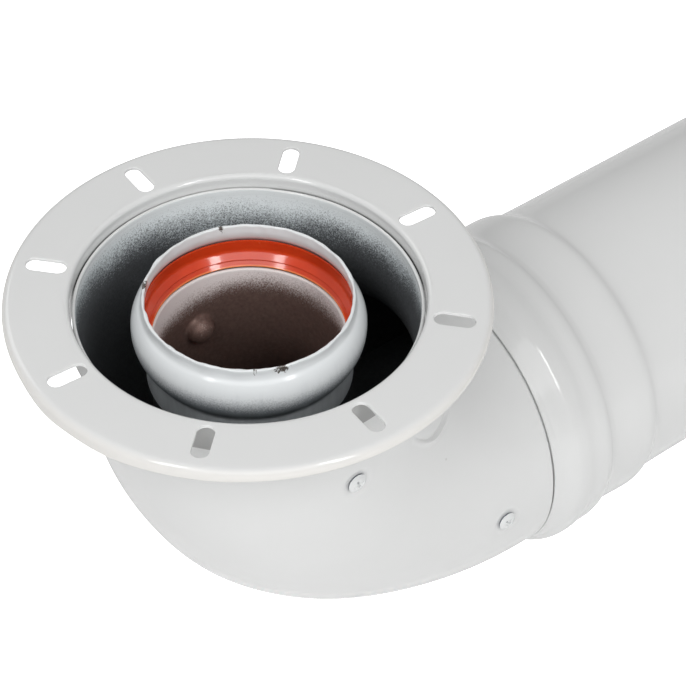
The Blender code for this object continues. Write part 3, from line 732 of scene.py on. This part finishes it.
# One eighth of the plate: loops of points shrink from the sector's outline to the slot's brim, go
# down its wall over rounded edges, and spread out again underneath.
half_sector = math.pi / SLOTS
edge_angle = np.concatenate([
    np.linspace(-half_sector, half_sector, PER_SLOT + 1)[:-1], np.full(PER_SIDE, half_sector),
    np.linspace(half_sector, -half_sector, PER_SLOT + 1)[:-1], np.full(PER_SIDE, -half_sector)])
side_step = np.linspace(FACE_IN, FACE_OUT, PER_SIDE + 1)
edge_radius = np.concatenate([np.full(PER_SLOT, FACE_IN), side_step[:-1],
                              np.full(PER_SLOT, FACE_OUT), side_step[:0:-1]])
edge_loop = np.stack([edge_radius * np.cos(edge_angle), edge_radius * np.sin(edge_angle)], -1)
half = SLOT_WIDE / 2
spine = np.stack([np.clip(edge_loop[:, 0], SLOT_IN + half, SLOT_OUT - half),
                  np.zeros(len(edge_loop))], -1)
away = edge_loop - spine
away /= np.linalg.norm(away, axis=1, keepdims=True)
round_over = 0.00032
slot_path = np.concatenate([
    np.stack([round_over * (1 - np.sin(np.linspace(0, math.pi / 2, 6))),
              -round_over * (1 - np.cos(np.linspace(0, math.pi / 2, 6)))], -1),
    np.stack([round_over * (1 - np.cos(np.linspace(0, math.pi / 2, 6))),
              -FLANGE_T + round_over * (1 - np.sin(np.linspace(0, math.pi / 2, 6)))], -1)])
shares = np.array([0.0, 0.22, 0.42, 0.60, 0.76, 0.88, 0.96])
brim = spine + (half + round_over) * away
face = edge_loop + (brim - edge_loop) * shares[:, None, None]
wall = spine + (half + slot_path[:, :1, None]) * away
sector = np.concatenate([
    np.concatenate([face, np.zeros(face.shape[:2] + (1,))], -1),
    np.concatenate([wall, np.broadcast_to(slot_path[:, 1:, None], wall.shape[:2] + (1,))], -1),
    np.concatenate([face, np.full(face.shape[:2] + (1,), -FLANGE_T)], -1)[::-1]])
points, faces, used = [], [], 0
for number in range(SLOTS):
    a = SLOT_TURN + math.tau * number / SLOTS
    turn = np.array([[math.cos(a), -math.sin(a), 0], [math.sin(a), math.cos(a), 0], [0, 0, 1]])
    points.append(sector.reshape(-1, 3) @ turn.T)
    faces.append(quads_of(sector.shape[:2], True) + used)
    used += len(points[-1])
# The skirt and the collar are rings of their own section, merged to the plate's edges.
hem = FLANGE_T / 2
rim_section = np.concatenate([
    arc((EDGE_ROLL, FACE_OUT), EDGE_ROLL, 180, 90, 12),
    [(SKIRT_FOOT - hem - 0.0005, FLANGE_R)],
    arc((SKIRT_FOOT - hem, FLANGE_R - hem), hem, 90, -90, 8),
    arc((EDGE_ROLL, FACE_OUT), EDGE_ROLL - FLANGE_T, 90, 180, 5)])
collar_section = np.concatenate([
    arc((COLLAR_ROLL, FACE_IN), COLLAR_ROLL, 180, 270, 10),
    flow([(0.0020, COLLAR_R), (0.0112, COLLAR_R)], 0.0007),
    arc((COLLAR_FOOT - 0.0006, COLLAR_R + 0.0006), 0.0006, -90, 90, 8),
    flow([(0.0110, COLLAR_R + FLANGE_T), (0.0020, COLLAR_R + FLANGE_T)], 0.0015),
    arc((COLLAR_ROLL, FACE_IN), COLLAR_ROLL - FLANGE_T, 270, 180, 4)])
round_angles = (SLOT_TURN - half_sector
                + math.tau * np.arange(SLOTS * PER_SLOT) / (SLOTS * PER_SLOT))
for section in (rim_section, collar_section):
    band = carried(section, round_angles)
    if section is rim_section:
        place_round = np.degrees(round_angles) % 360
        droop = sum(deep * np.exp(-(((place_round - at) / width) ** 2))
                    for at, width, deep in SKIRT_DROOPS)
        band[..., 2] -= smooth(section[:, :1], 0.0014, SKIRT_FOOT - hem) * droop
    else:
        burr = (np.exp(-((round_angles - BURR_ANGLE) / 0.16) ** 2)
                * np.clip(ripple(round_angles, 2, 30, 90), 0, 1))
        inward = np.stack([-np.cos(round_angles), -np.sin(round_angles), 0 * round_angles], -1)
        band += inward * (0.00028 * burr * np.exp(-((section[:, :1] - 0.0016) / 0.0012) ** 2)
                          * (section[:, 1:] < COLLAR_R + 0.0011))[..., None]
    points.append(band.reshape(-1, 3))
    faces.append(quads_of(band.shape[:2], True) + used)
    used += len(points[-1])
mesh = bpy.data.meshes.new("enamelled_flange")
mesh.from_pydata(np.concatenate(points).tolist(), [], np.concatenate(faces).tolist())
shell = bmesh.new()
shell.from_mesh(mesh)
bmesh.ops.remove_doubles(shell, verts=shell.verts[:], dist=0.000004)
bmesh.ops.recalc_face_normals(shell, faces=shell.faces[:])
shell.to_mesh(mesh)
shell.free()
mesh.shade_smooth()
mesh.set_sharp_from_angle(angle=math.radians(42))
flange = bpy.data.objects.new("enamelled_flange", mesh)
bpy.context.scene.collection.objects.link(flange)
pressed, tree, shader, place, colour = enamel("flange enamel", WHITE, 0.55)
out = from_axis(tree, place)
height = add(tree, "ShaderNodeSeparateXYZ", {"Vector": place}).outputs["Z"]
# Painted shade: the plate's underside, the collar's outside and the skirt's inside are darkened
# where shade falls under the plate.
between = math_node(tree, "MULTIPLY", math_node(tree, "GREATER_THAN", out, COLLAR_R + 0.0006),
                    math_node(tree, "LESS_THAN", out, FLANGE_R - 0.0008))
under_plate_shade = math_node(tree, "MULTIPLY", between, math_node(tree, "LESS_THAN", height, -0.0010))
colour = mixed(tree, math_node(tree, "MULTIPLY", under_plate_shade, 0.8), colour, (0.30, 0.30, 0.295))
# Painted shade: the collar's bore below the casing's mouth is coloured near black for the shade in
# the gap between them.
bore_shade = math_node(tree, "MULTIPLY", ranged(tree, height, -0.0044, -0.0056),
                    math_node(tree, "LESS_THAN", out, COLLAR_R + 0.0004))
colour = mixed(tree, bore_shade, colour, (0.02, 0.022, 0.025))
rust = placed(tree, specks, Place=place, Scale=210.0, Share=0.055, Size=0.13)
on_rim = math_node(tree, "MULTIPLY", rust["Mask"], ranged(tree, out, 0.0718, 0.0724))
feed(tree, shader, Base_Color=mixed(tree, math_node(tree, "MULTIPLY", on_rim, 0.7), colour,
     (0.52, 0.42, 0.26)))
mesh.materials.append(pressed)
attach(flange, "elbow")
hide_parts("flange_ring")

# ---------------------------------------------------------------------------------------------
# Inner tube of the flue pipe. Thin aluminium tube with a bead rolled into its socket end; it
# pushes over the end of the cast duct, and its own silicone lip seal sits in the bead.
TUBE_END, TUBE_R, TUBE_WALL = 0.3264, 0.0300, 0.0010


def outward_along(x_profile):
    """A profile of (x, radius) pairs as (length along the axis, radius) for the outlet side."""
    return np.asarray(x_profile, float) + (outlet(0.0), 0.0)


drawn, tree, shader, place = new_material("drawn aluminium", Metallic=0.9, Roughness=0.32)
stretched = add(tree, "ShaderNodeMapping", {"Vector": place, "Scale": (0.03, 1.0, 1.0)}).outputs[0]
lines = add(tree, "ShaderNodeTexNoise", {"Vector": stretched, "Scale": 1900.0, "Detail": 4.0,
            "Roughness": 0.7})
cloudy = add(tree, "ShaderNodeTexNoise", {"Vector": place, "Scale": 55.0, "Detail": 4.0})
shine = mixed(tree, lines.outputs["Fac"], (0.44, 0.445, 0.455), (0.64, 0.645, 0.65))
dull = ranged(tree, cloudy.outputs["Fac"], 0.45, 0.75, 0.0, 0.5)
rough = math_node(tree, "ADD", 0.22, math_node(tree, "MULTIPLY", cloudy.outputs["Fac"], 0.28))
scratch = add(tree, "ShaderNodeBump", {"Height": lines.outputs["Fac"], "Strength": 0.25,
              "Distance": 0.00003})
feed(tree, shader, Base_Color=mixed(tree, dull, shine, (0.36, 0.36, 0.365)), Roughness=rough,
     Normal=scratch.outputs["Normal"])

tube_section = outward_along(np.concatenate([
    flow([(0.0982, 0.0316), (0.0990, 0.0317), (0.1004, 0.0324), (0.1022, 0.0338),
          (0.1045, 0.0346), (0.1080, 0.0346), (0.1103, 0.0338), (0.1122, 0.0323),
          (0.1140, 0.0317), (0.1205, 0.0316)], 0.0004),
    flow([(0.1208, 0.03155), (0.1222, 0.0308), (0.1236, 0.0301), (0.1250, TUBE_R)], 0.0004),
    flow([(0.1262, TUBE_R), (TUBE_END - 0.0006, TUBE_R)], 0.0080),
    arc((TUBE_END - 0.0005, TUBE_R - 0.0005), 0.0005, 90, -90, 6),
    flow([(TUBE_END - 0.0020, TUBE_R - TUBE_WALL), (0.1262, TUBE_R - TUBE_WALL)], 0.0080),
    flow([(0.1250, TUBE_R - TUBE_WALL), (0.1236, 0.0291), (0.1222, 0.0298), (0.1208, 0.03055)],
         0.0004),
    flow([(0.1205, 0.0306), (0.1136, 0.0307), (0.1118, 0.0313), (0.1098, 0.0328),
          (0.1075, 0.0336), (0.1050, 0.0336), (0.1027, 0.0328), (0.1008, 0.0314),
          (0.0990, 0.0307), (0.0984, 0.0306)], 0.0004),
    arc((0.0983, 0.0311), 0.0005, 270, 90, 6)[1:-1]]))
around = np.linspace(-math.pi, math.pi, 193)[:-1]
tube = skin("alloy_tube", carried(tube_section, around))
tube.data.materials.append(drawn)
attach(tube, "inner_tube")
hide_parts("inner_pipe")

tube_lip = outward_along(flow(
    [(0.1022, 0.0316), (0.1028, 0.0309), (0.1034, 0.0304), (0.1046, 0.0308), (0.1058, 0.0310),
     (0.1072, 0.0306), (0.1085, 0.0303), (0.1093, 0.0307), (0.1092, 0.0314), (0.1086, 0.0322),
     (0.1073, 0.0333), (0.1052, 0.0333), (0.1034, 0.0328), (0.1024, 0.0321)], 0.0004))
tube_seal = skin("tube_lip_seal", carried(tube_lip, around), thin=np.zeros(len(tube_lip)))
tube_seal.data.materials.append(silicone)
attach(tube_seal, "inner_tube")
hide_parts("inner_pipe_seal")

# ---------------------------------------------------------------------------------------------
# Spacer clips. Two black moulded rings snapped round the inner tube, each with three splayed
# feet that keep it in the middle of the flue pipe.
CLIP_AT, CLIP_WIDE = {"near": 0.1760, "far": 0.2900}, 0.0100
BAND_IN, BAND_OUT, FOOT_REACH = 0.0303, 0.0320, 0.0487
clip_plastic = grained("black nylon", (0.012, 0.012, 0.013), (0.034, 0.034, 0.036), 0.35, 0.55,
                       Scale=1900.0, Detail=2.0, Strength=0.5, Height=0.00003)

clip_angles = np.linspace(0, math.tau, 361)[:-1]
for label, at in CLIP_AT.items():
    corner = 0.0004
    band_section = outward_along(np.concatenate([
        arc((at + corner, BAND_OUT - corner), corner, 180, 90, 4),
        arc((at + CLIP_WIDE - corner, BAND_OUT - corner), corner, 90, 0, 4),
        arc((at + CLIP_WIDE - corner, BAND_IN + corner), corner, 0, -90, 4),
        arc((at + corner, BAND_IN + corner), corner, 270, 180, 4)]))
    clip = skin(f"spacer_clip_{label}", carried(band_section, clip_angles))
    clip.data.materials.append(clip_plastic)
    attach(clip, "inner_tube")
    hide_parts(f"spacer_{label}")
    for number, leg in enumerate((0.0, 120.0, 240.0)):
        height_up = np.array([BAND_OUT - 0.0008, 0.0336, 0.0360, 0.0400, 0.0440, 0.0458, 0.0472,
                              0.0480, FOOT_REACH - 0.0002])
        half_wide = np.radians([4.4, 3.0, 2.2, 1.9, 2.0, 3.2, 4.8, 5.8, 5.9])
        t = np.linspace(0, math.tau, 49)[:-1]
        box_x = np.sign(np.cos(t)) * np.abs(np.cos(t)) ** 0.25
        box_w = np.sign(np.sin(t)) * np.abs(np.sin(t)) ** 0.25
        a = math.radians(leg) + half_wide[:, None] * box_w
        x = at + CLIP_WIDE / 2 + (CLIP_WIDE / 2 - 0.0001) * box_x
        r = height_up[:, None]
        leg_rings = np.stack([np.broadcast_to(x, a.shape), r * np.sin(a), r * np.cos(a) - DROP], -1)
        foot = skin(f"spacer_foot_{label}_{number}", leg_rings, cyclic=False)
        foot.data.materials.append(clip_plastic)
        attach(foot, "inner_tube")
        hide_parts(f"spacer_{label}")

# ---------------------------------------------------------------------------------------------
# Outer flue pipe. Rolled steel tube with a socket expanded into one end: a large bead for the
# rubber seal, then a smaller step. It is coated white like the casing, and plugs over the spigot.
PIPE_START, PIPE_END, PIPE_R, PIPE_WALL = 0.0854, 0.3354, 0.0500, 0.0010
piped, tree, shader, place, colour = enamel("pipe enamel", WHITE, 0.0)
reach = add(tree, "ShaderNodeAttribute", attribute_name="reach").outputs["Fac"]
fog = placed(tree, overspray, Place=place, Reach=reach, Start=0.0010, End=0.0300, Drift=0.6)
zinced = mixed(tree, placed(tree, relief, Place=place, Scale=160.0, Detail=3.0)["Hill"],
               (0.19, 0.195, 0.20), (0.33, 0.335, 0.34))
feed(tree, shader, Base_Color=mixed(tree, fog["Cover"], zinced, colour))
pipe_section = outward_along(np.concatenate([
    flow([(0.0857, 0.05105), (0.0863, 0.0513), (0.0872, 0.0518), (0.0884, 0.05235),
          (0.0896, 0.0530), (0.0908, 0.0537), (0.0920, 0.0543), (0.0933, 0.05475),
          (0.0946, 0.05495), (0.0960, 0.0550), (0.0974, 0.05495), (0.0990, 0.0547),
          (0.1005, 0.05445), (0.1020, 0.05435), (0.1040, 0.05435), (0.1056, 0.0543),
          (0.1068, 0.0541), (0.1079, 0.0537), (0.1090, 0.0531), (0.1102, 0.0526),
          (0.1112, 0.0523)], 0.0004),
    flow([(0.1118, 0.0522), (0.1135, 0.0521), (0.1160, 0.0521), (0.1190, 0.0522),
          (0.1225, 0.05235), (0.1255, 0.0524), (0.1272, 0.0523), (0.1284, 0.05205),
          (0.1296, 0.0516), (0.1308, 0.0510), (0.1320, 0.05055), (0.1334, 0.0503)], 0.0006),
    flow([(0.1345, 0.05018), (0.1370, 0.0501), (0.1420, 0.05003), (0.1480, PIPE_R)], 0.0020),
    flow([(0.1550, PIPE_R), (PIPE_END - 0.0006, PIPE_R)], 0.0080),
    arc((PIPE_END - 0.0005, PIPE_R - 0.0005), 0.0005, 90, -90, 6),
    flow([(PIPE_END - 0.0016, PIPE_R - PIPE_WALL), (0.1550, PIPE_R - PIPE_WALL)], 0.0080),
    flow([(0.1500, PIPE_R - PIPE_WALL), (0.1370, 0.0491), (0.1335, 0.0493), (0.1320, 0.0496),
          (0.1305, 0.0501), (0.1290, 0.0508), (0.1275, 0.0512), (0.1240, 0.0513),
          (0.1180, 0.0511), (0.1130, 0.0512), (0.1110, 0.0514), (0.1085, 0.0525),
          (0.1060, 0.0533), (0.1020, 0.05335), (0.0995, 0.0536), (0.0970, 0.0540),
          (0.0945, 0.0539), (0.0915, 0.0529), (0.0890, 0.0517), (0.0872, 0.0508),
          (0.0862, 0.0504)], 0.0007),
    arc((0.0859, 0.0506), 0.0005, 270, 120, 5)]))
around = np.linspace(-math.pi, math.pi, 257)[:-1]
is_inner = np.arange(len(pipe_section)) > np.argmax(pipe_section[:, 0])
from_ends = np.minimum(pipe_section[:, 0] - outlet(PIPE_START),
                       outlet(PIPE_END) - pipe_section[:, 0])
rings = carried(pipe_section, around)
GAPE = 0.0011                            # how far the mouth stands open at the bottom
at_mouth = 1 - smooth(pipe_section[:, :1], outlet(0.0870), outlet(0.0905))
rings[..., 0] += GAPE * smooth(-np.cos(around), 0.18, 0.75) * at_mouth
pipe = skin("enamelled_pipe", rings, reach=np.where(is_inner, from_ends, 0.0))
pipe.data.materials.append(piped)
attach(pipe, "outer_tube")
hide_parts("outer_pipe")

# Its seal is a black rubber ring in the large bead, with one lip forward and one back.
rubber = grained("black rubber", (0.010, 0.010, 0.010), (0.032, 0.031, 0.030), 0.42, 0.68,
                 Scale=500.0, Detail=4.0, Strength=0.4, Height=0.00005)
rubber_section = outward_along(flow(
    [(0.0907, 0.0510), (0.0912, 0.0504), (0.0918, 0.0502), (0.0928, 0.0506), (0.0942, 0.0508),
     (0.0980, 0.0508), (0.0996, 0.0505), (0.1008, 0.0501), (0.1019, 0.0503), (0.1021, 0.0508),
     (0.1012, 0.0518), (0.0998, 0.0529), (0.0980, 0.0534), (0.0960, 0.0535), (0.0940, 0.0532),
     (0.0922, 0.0522)], 0.0004))
rubber_seal = skin("rubber_seal", carried(rubber_section, around))
rubber_seal.data.materials.append(rubber)
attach(rubber_seal, "outer_tube")
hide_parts("outer_pipe_seal")

# ---------------------------------------------------------------------------------------------
# Studio. A plain white floor just under the pipe's bead, an even white surround, two tall soft
# boxes on either side of the camera, a broad one above it and a weak one behind the object.
LOOK = Matrix(((0.7865506, 0.42545988, -0.44757351, -0.31276508),
               (-0.61742629, 0.55483939, -0.55761817, -0.43470614),
               (0.01108725, 0.71493856, 0.69909937, 0.50246887),
               (0.0, 0.0, 0.0, 1.0)))
camera = bpy.data.cameras.new("camera")
camera.angle = math.radians(15.743148)
camera.clip_start, camera.clip_end = 0.02, 30.0
eye = bpy.data.objects.new("camera", camera)
eye.matrix_world = LOOK
bpy.context.scene.collection.objects.link(eye)
bpy.context.scene.camera = eye

floor_mesh = bpy.data.meshes.new("floor")
reach_out, level = 6.0, cad_box[0].z - 0.0003
floor_mesh.from_pydata([(-reach_out, -reach_out, level), (reach_out, -reach_out, level),
                        (reach_out, reach_out, level), (-reach_out, reach_out, level)],
                       [], [(0, 1, 2, 3)])
floor = bpy.data.objects.new("floor", floor_mesh)
bpy.context.scene.collection.objects.link(floor)
pale, tree, shader, place = new_material("pale floor", (0.8, 0.8, 0.8), Roughness=0.9)
shader.inputs["Emission Color"].default_value = (1.0, 1.0, 1.0, 1.0)
FLOOR_BOUNCE, SURROUND = 0.16, 0.34      # what each gives the object; in view both are white
in_view = add(tree, "ShaderNodeLightPath").outputs["Is Camera Ray"]
feed(tree, shader, Emission_Strength=ranged(tree, in_view, 0.0, 1.0, FLOOR_BOUNCE, 1.0))
floor_mesh.materials.append(pale)

# Each light: its name, the direction it stands in, its distance, width, height and power.
for label, toward, away, wide, tall, watts in (
    ("left_box", (-0.7144, -0.2088, 0.6677), 1.15, 0.16, 0.65, 2.8),
    ("right_box", (0.0168, -0.7445, 0.6674), 1.15, 0.16, 0.65, 3.4),
    ("front_box", (-0.4198, -0.5778, 0.7000), 1.6, 1.4, 1.0, 7.1),
    ("back_box", (-0.1000, 0.8000, 0.5916), 1.8, 1.0, 0.8, 4.2),
):
    lamp = bpy.data.lights.new(label, "AREA")
    lamp.shape, lamp.size, lamp.size_y, lamp.energy = "RECTANGLE", wide, tall, watts
    box = bpy.data.objects.new(label, lamp)
    box.location = Vector(toward) * away + Vector((0.02, 0.0, -0.02))
    box.rotation_euler = Vector(toward).to_track_quat("Z", "Y").to_euler()
    bpy.context.scene.collection.objects.link(box)

world = bpy.data.worlds.new("surround")
world.use_nodes = True
sky = world.node_tree.nodes["Background"]
in_view = add(world.node_tree, "ShaderNodeLightPath").outputs["Is Camera Ray"]
feed(world.node_tree, sky, Strength=ranged(world.node_tree, in_view, 0.0, 1.0, SURROUND, 1.0))
sky.inputs["Color"].default_value = (1.0, 1.0, 1.0, 1.0)
bpy.context.scene.world = world
bpy.context.scene.view_settings.view_transform = "Standard"
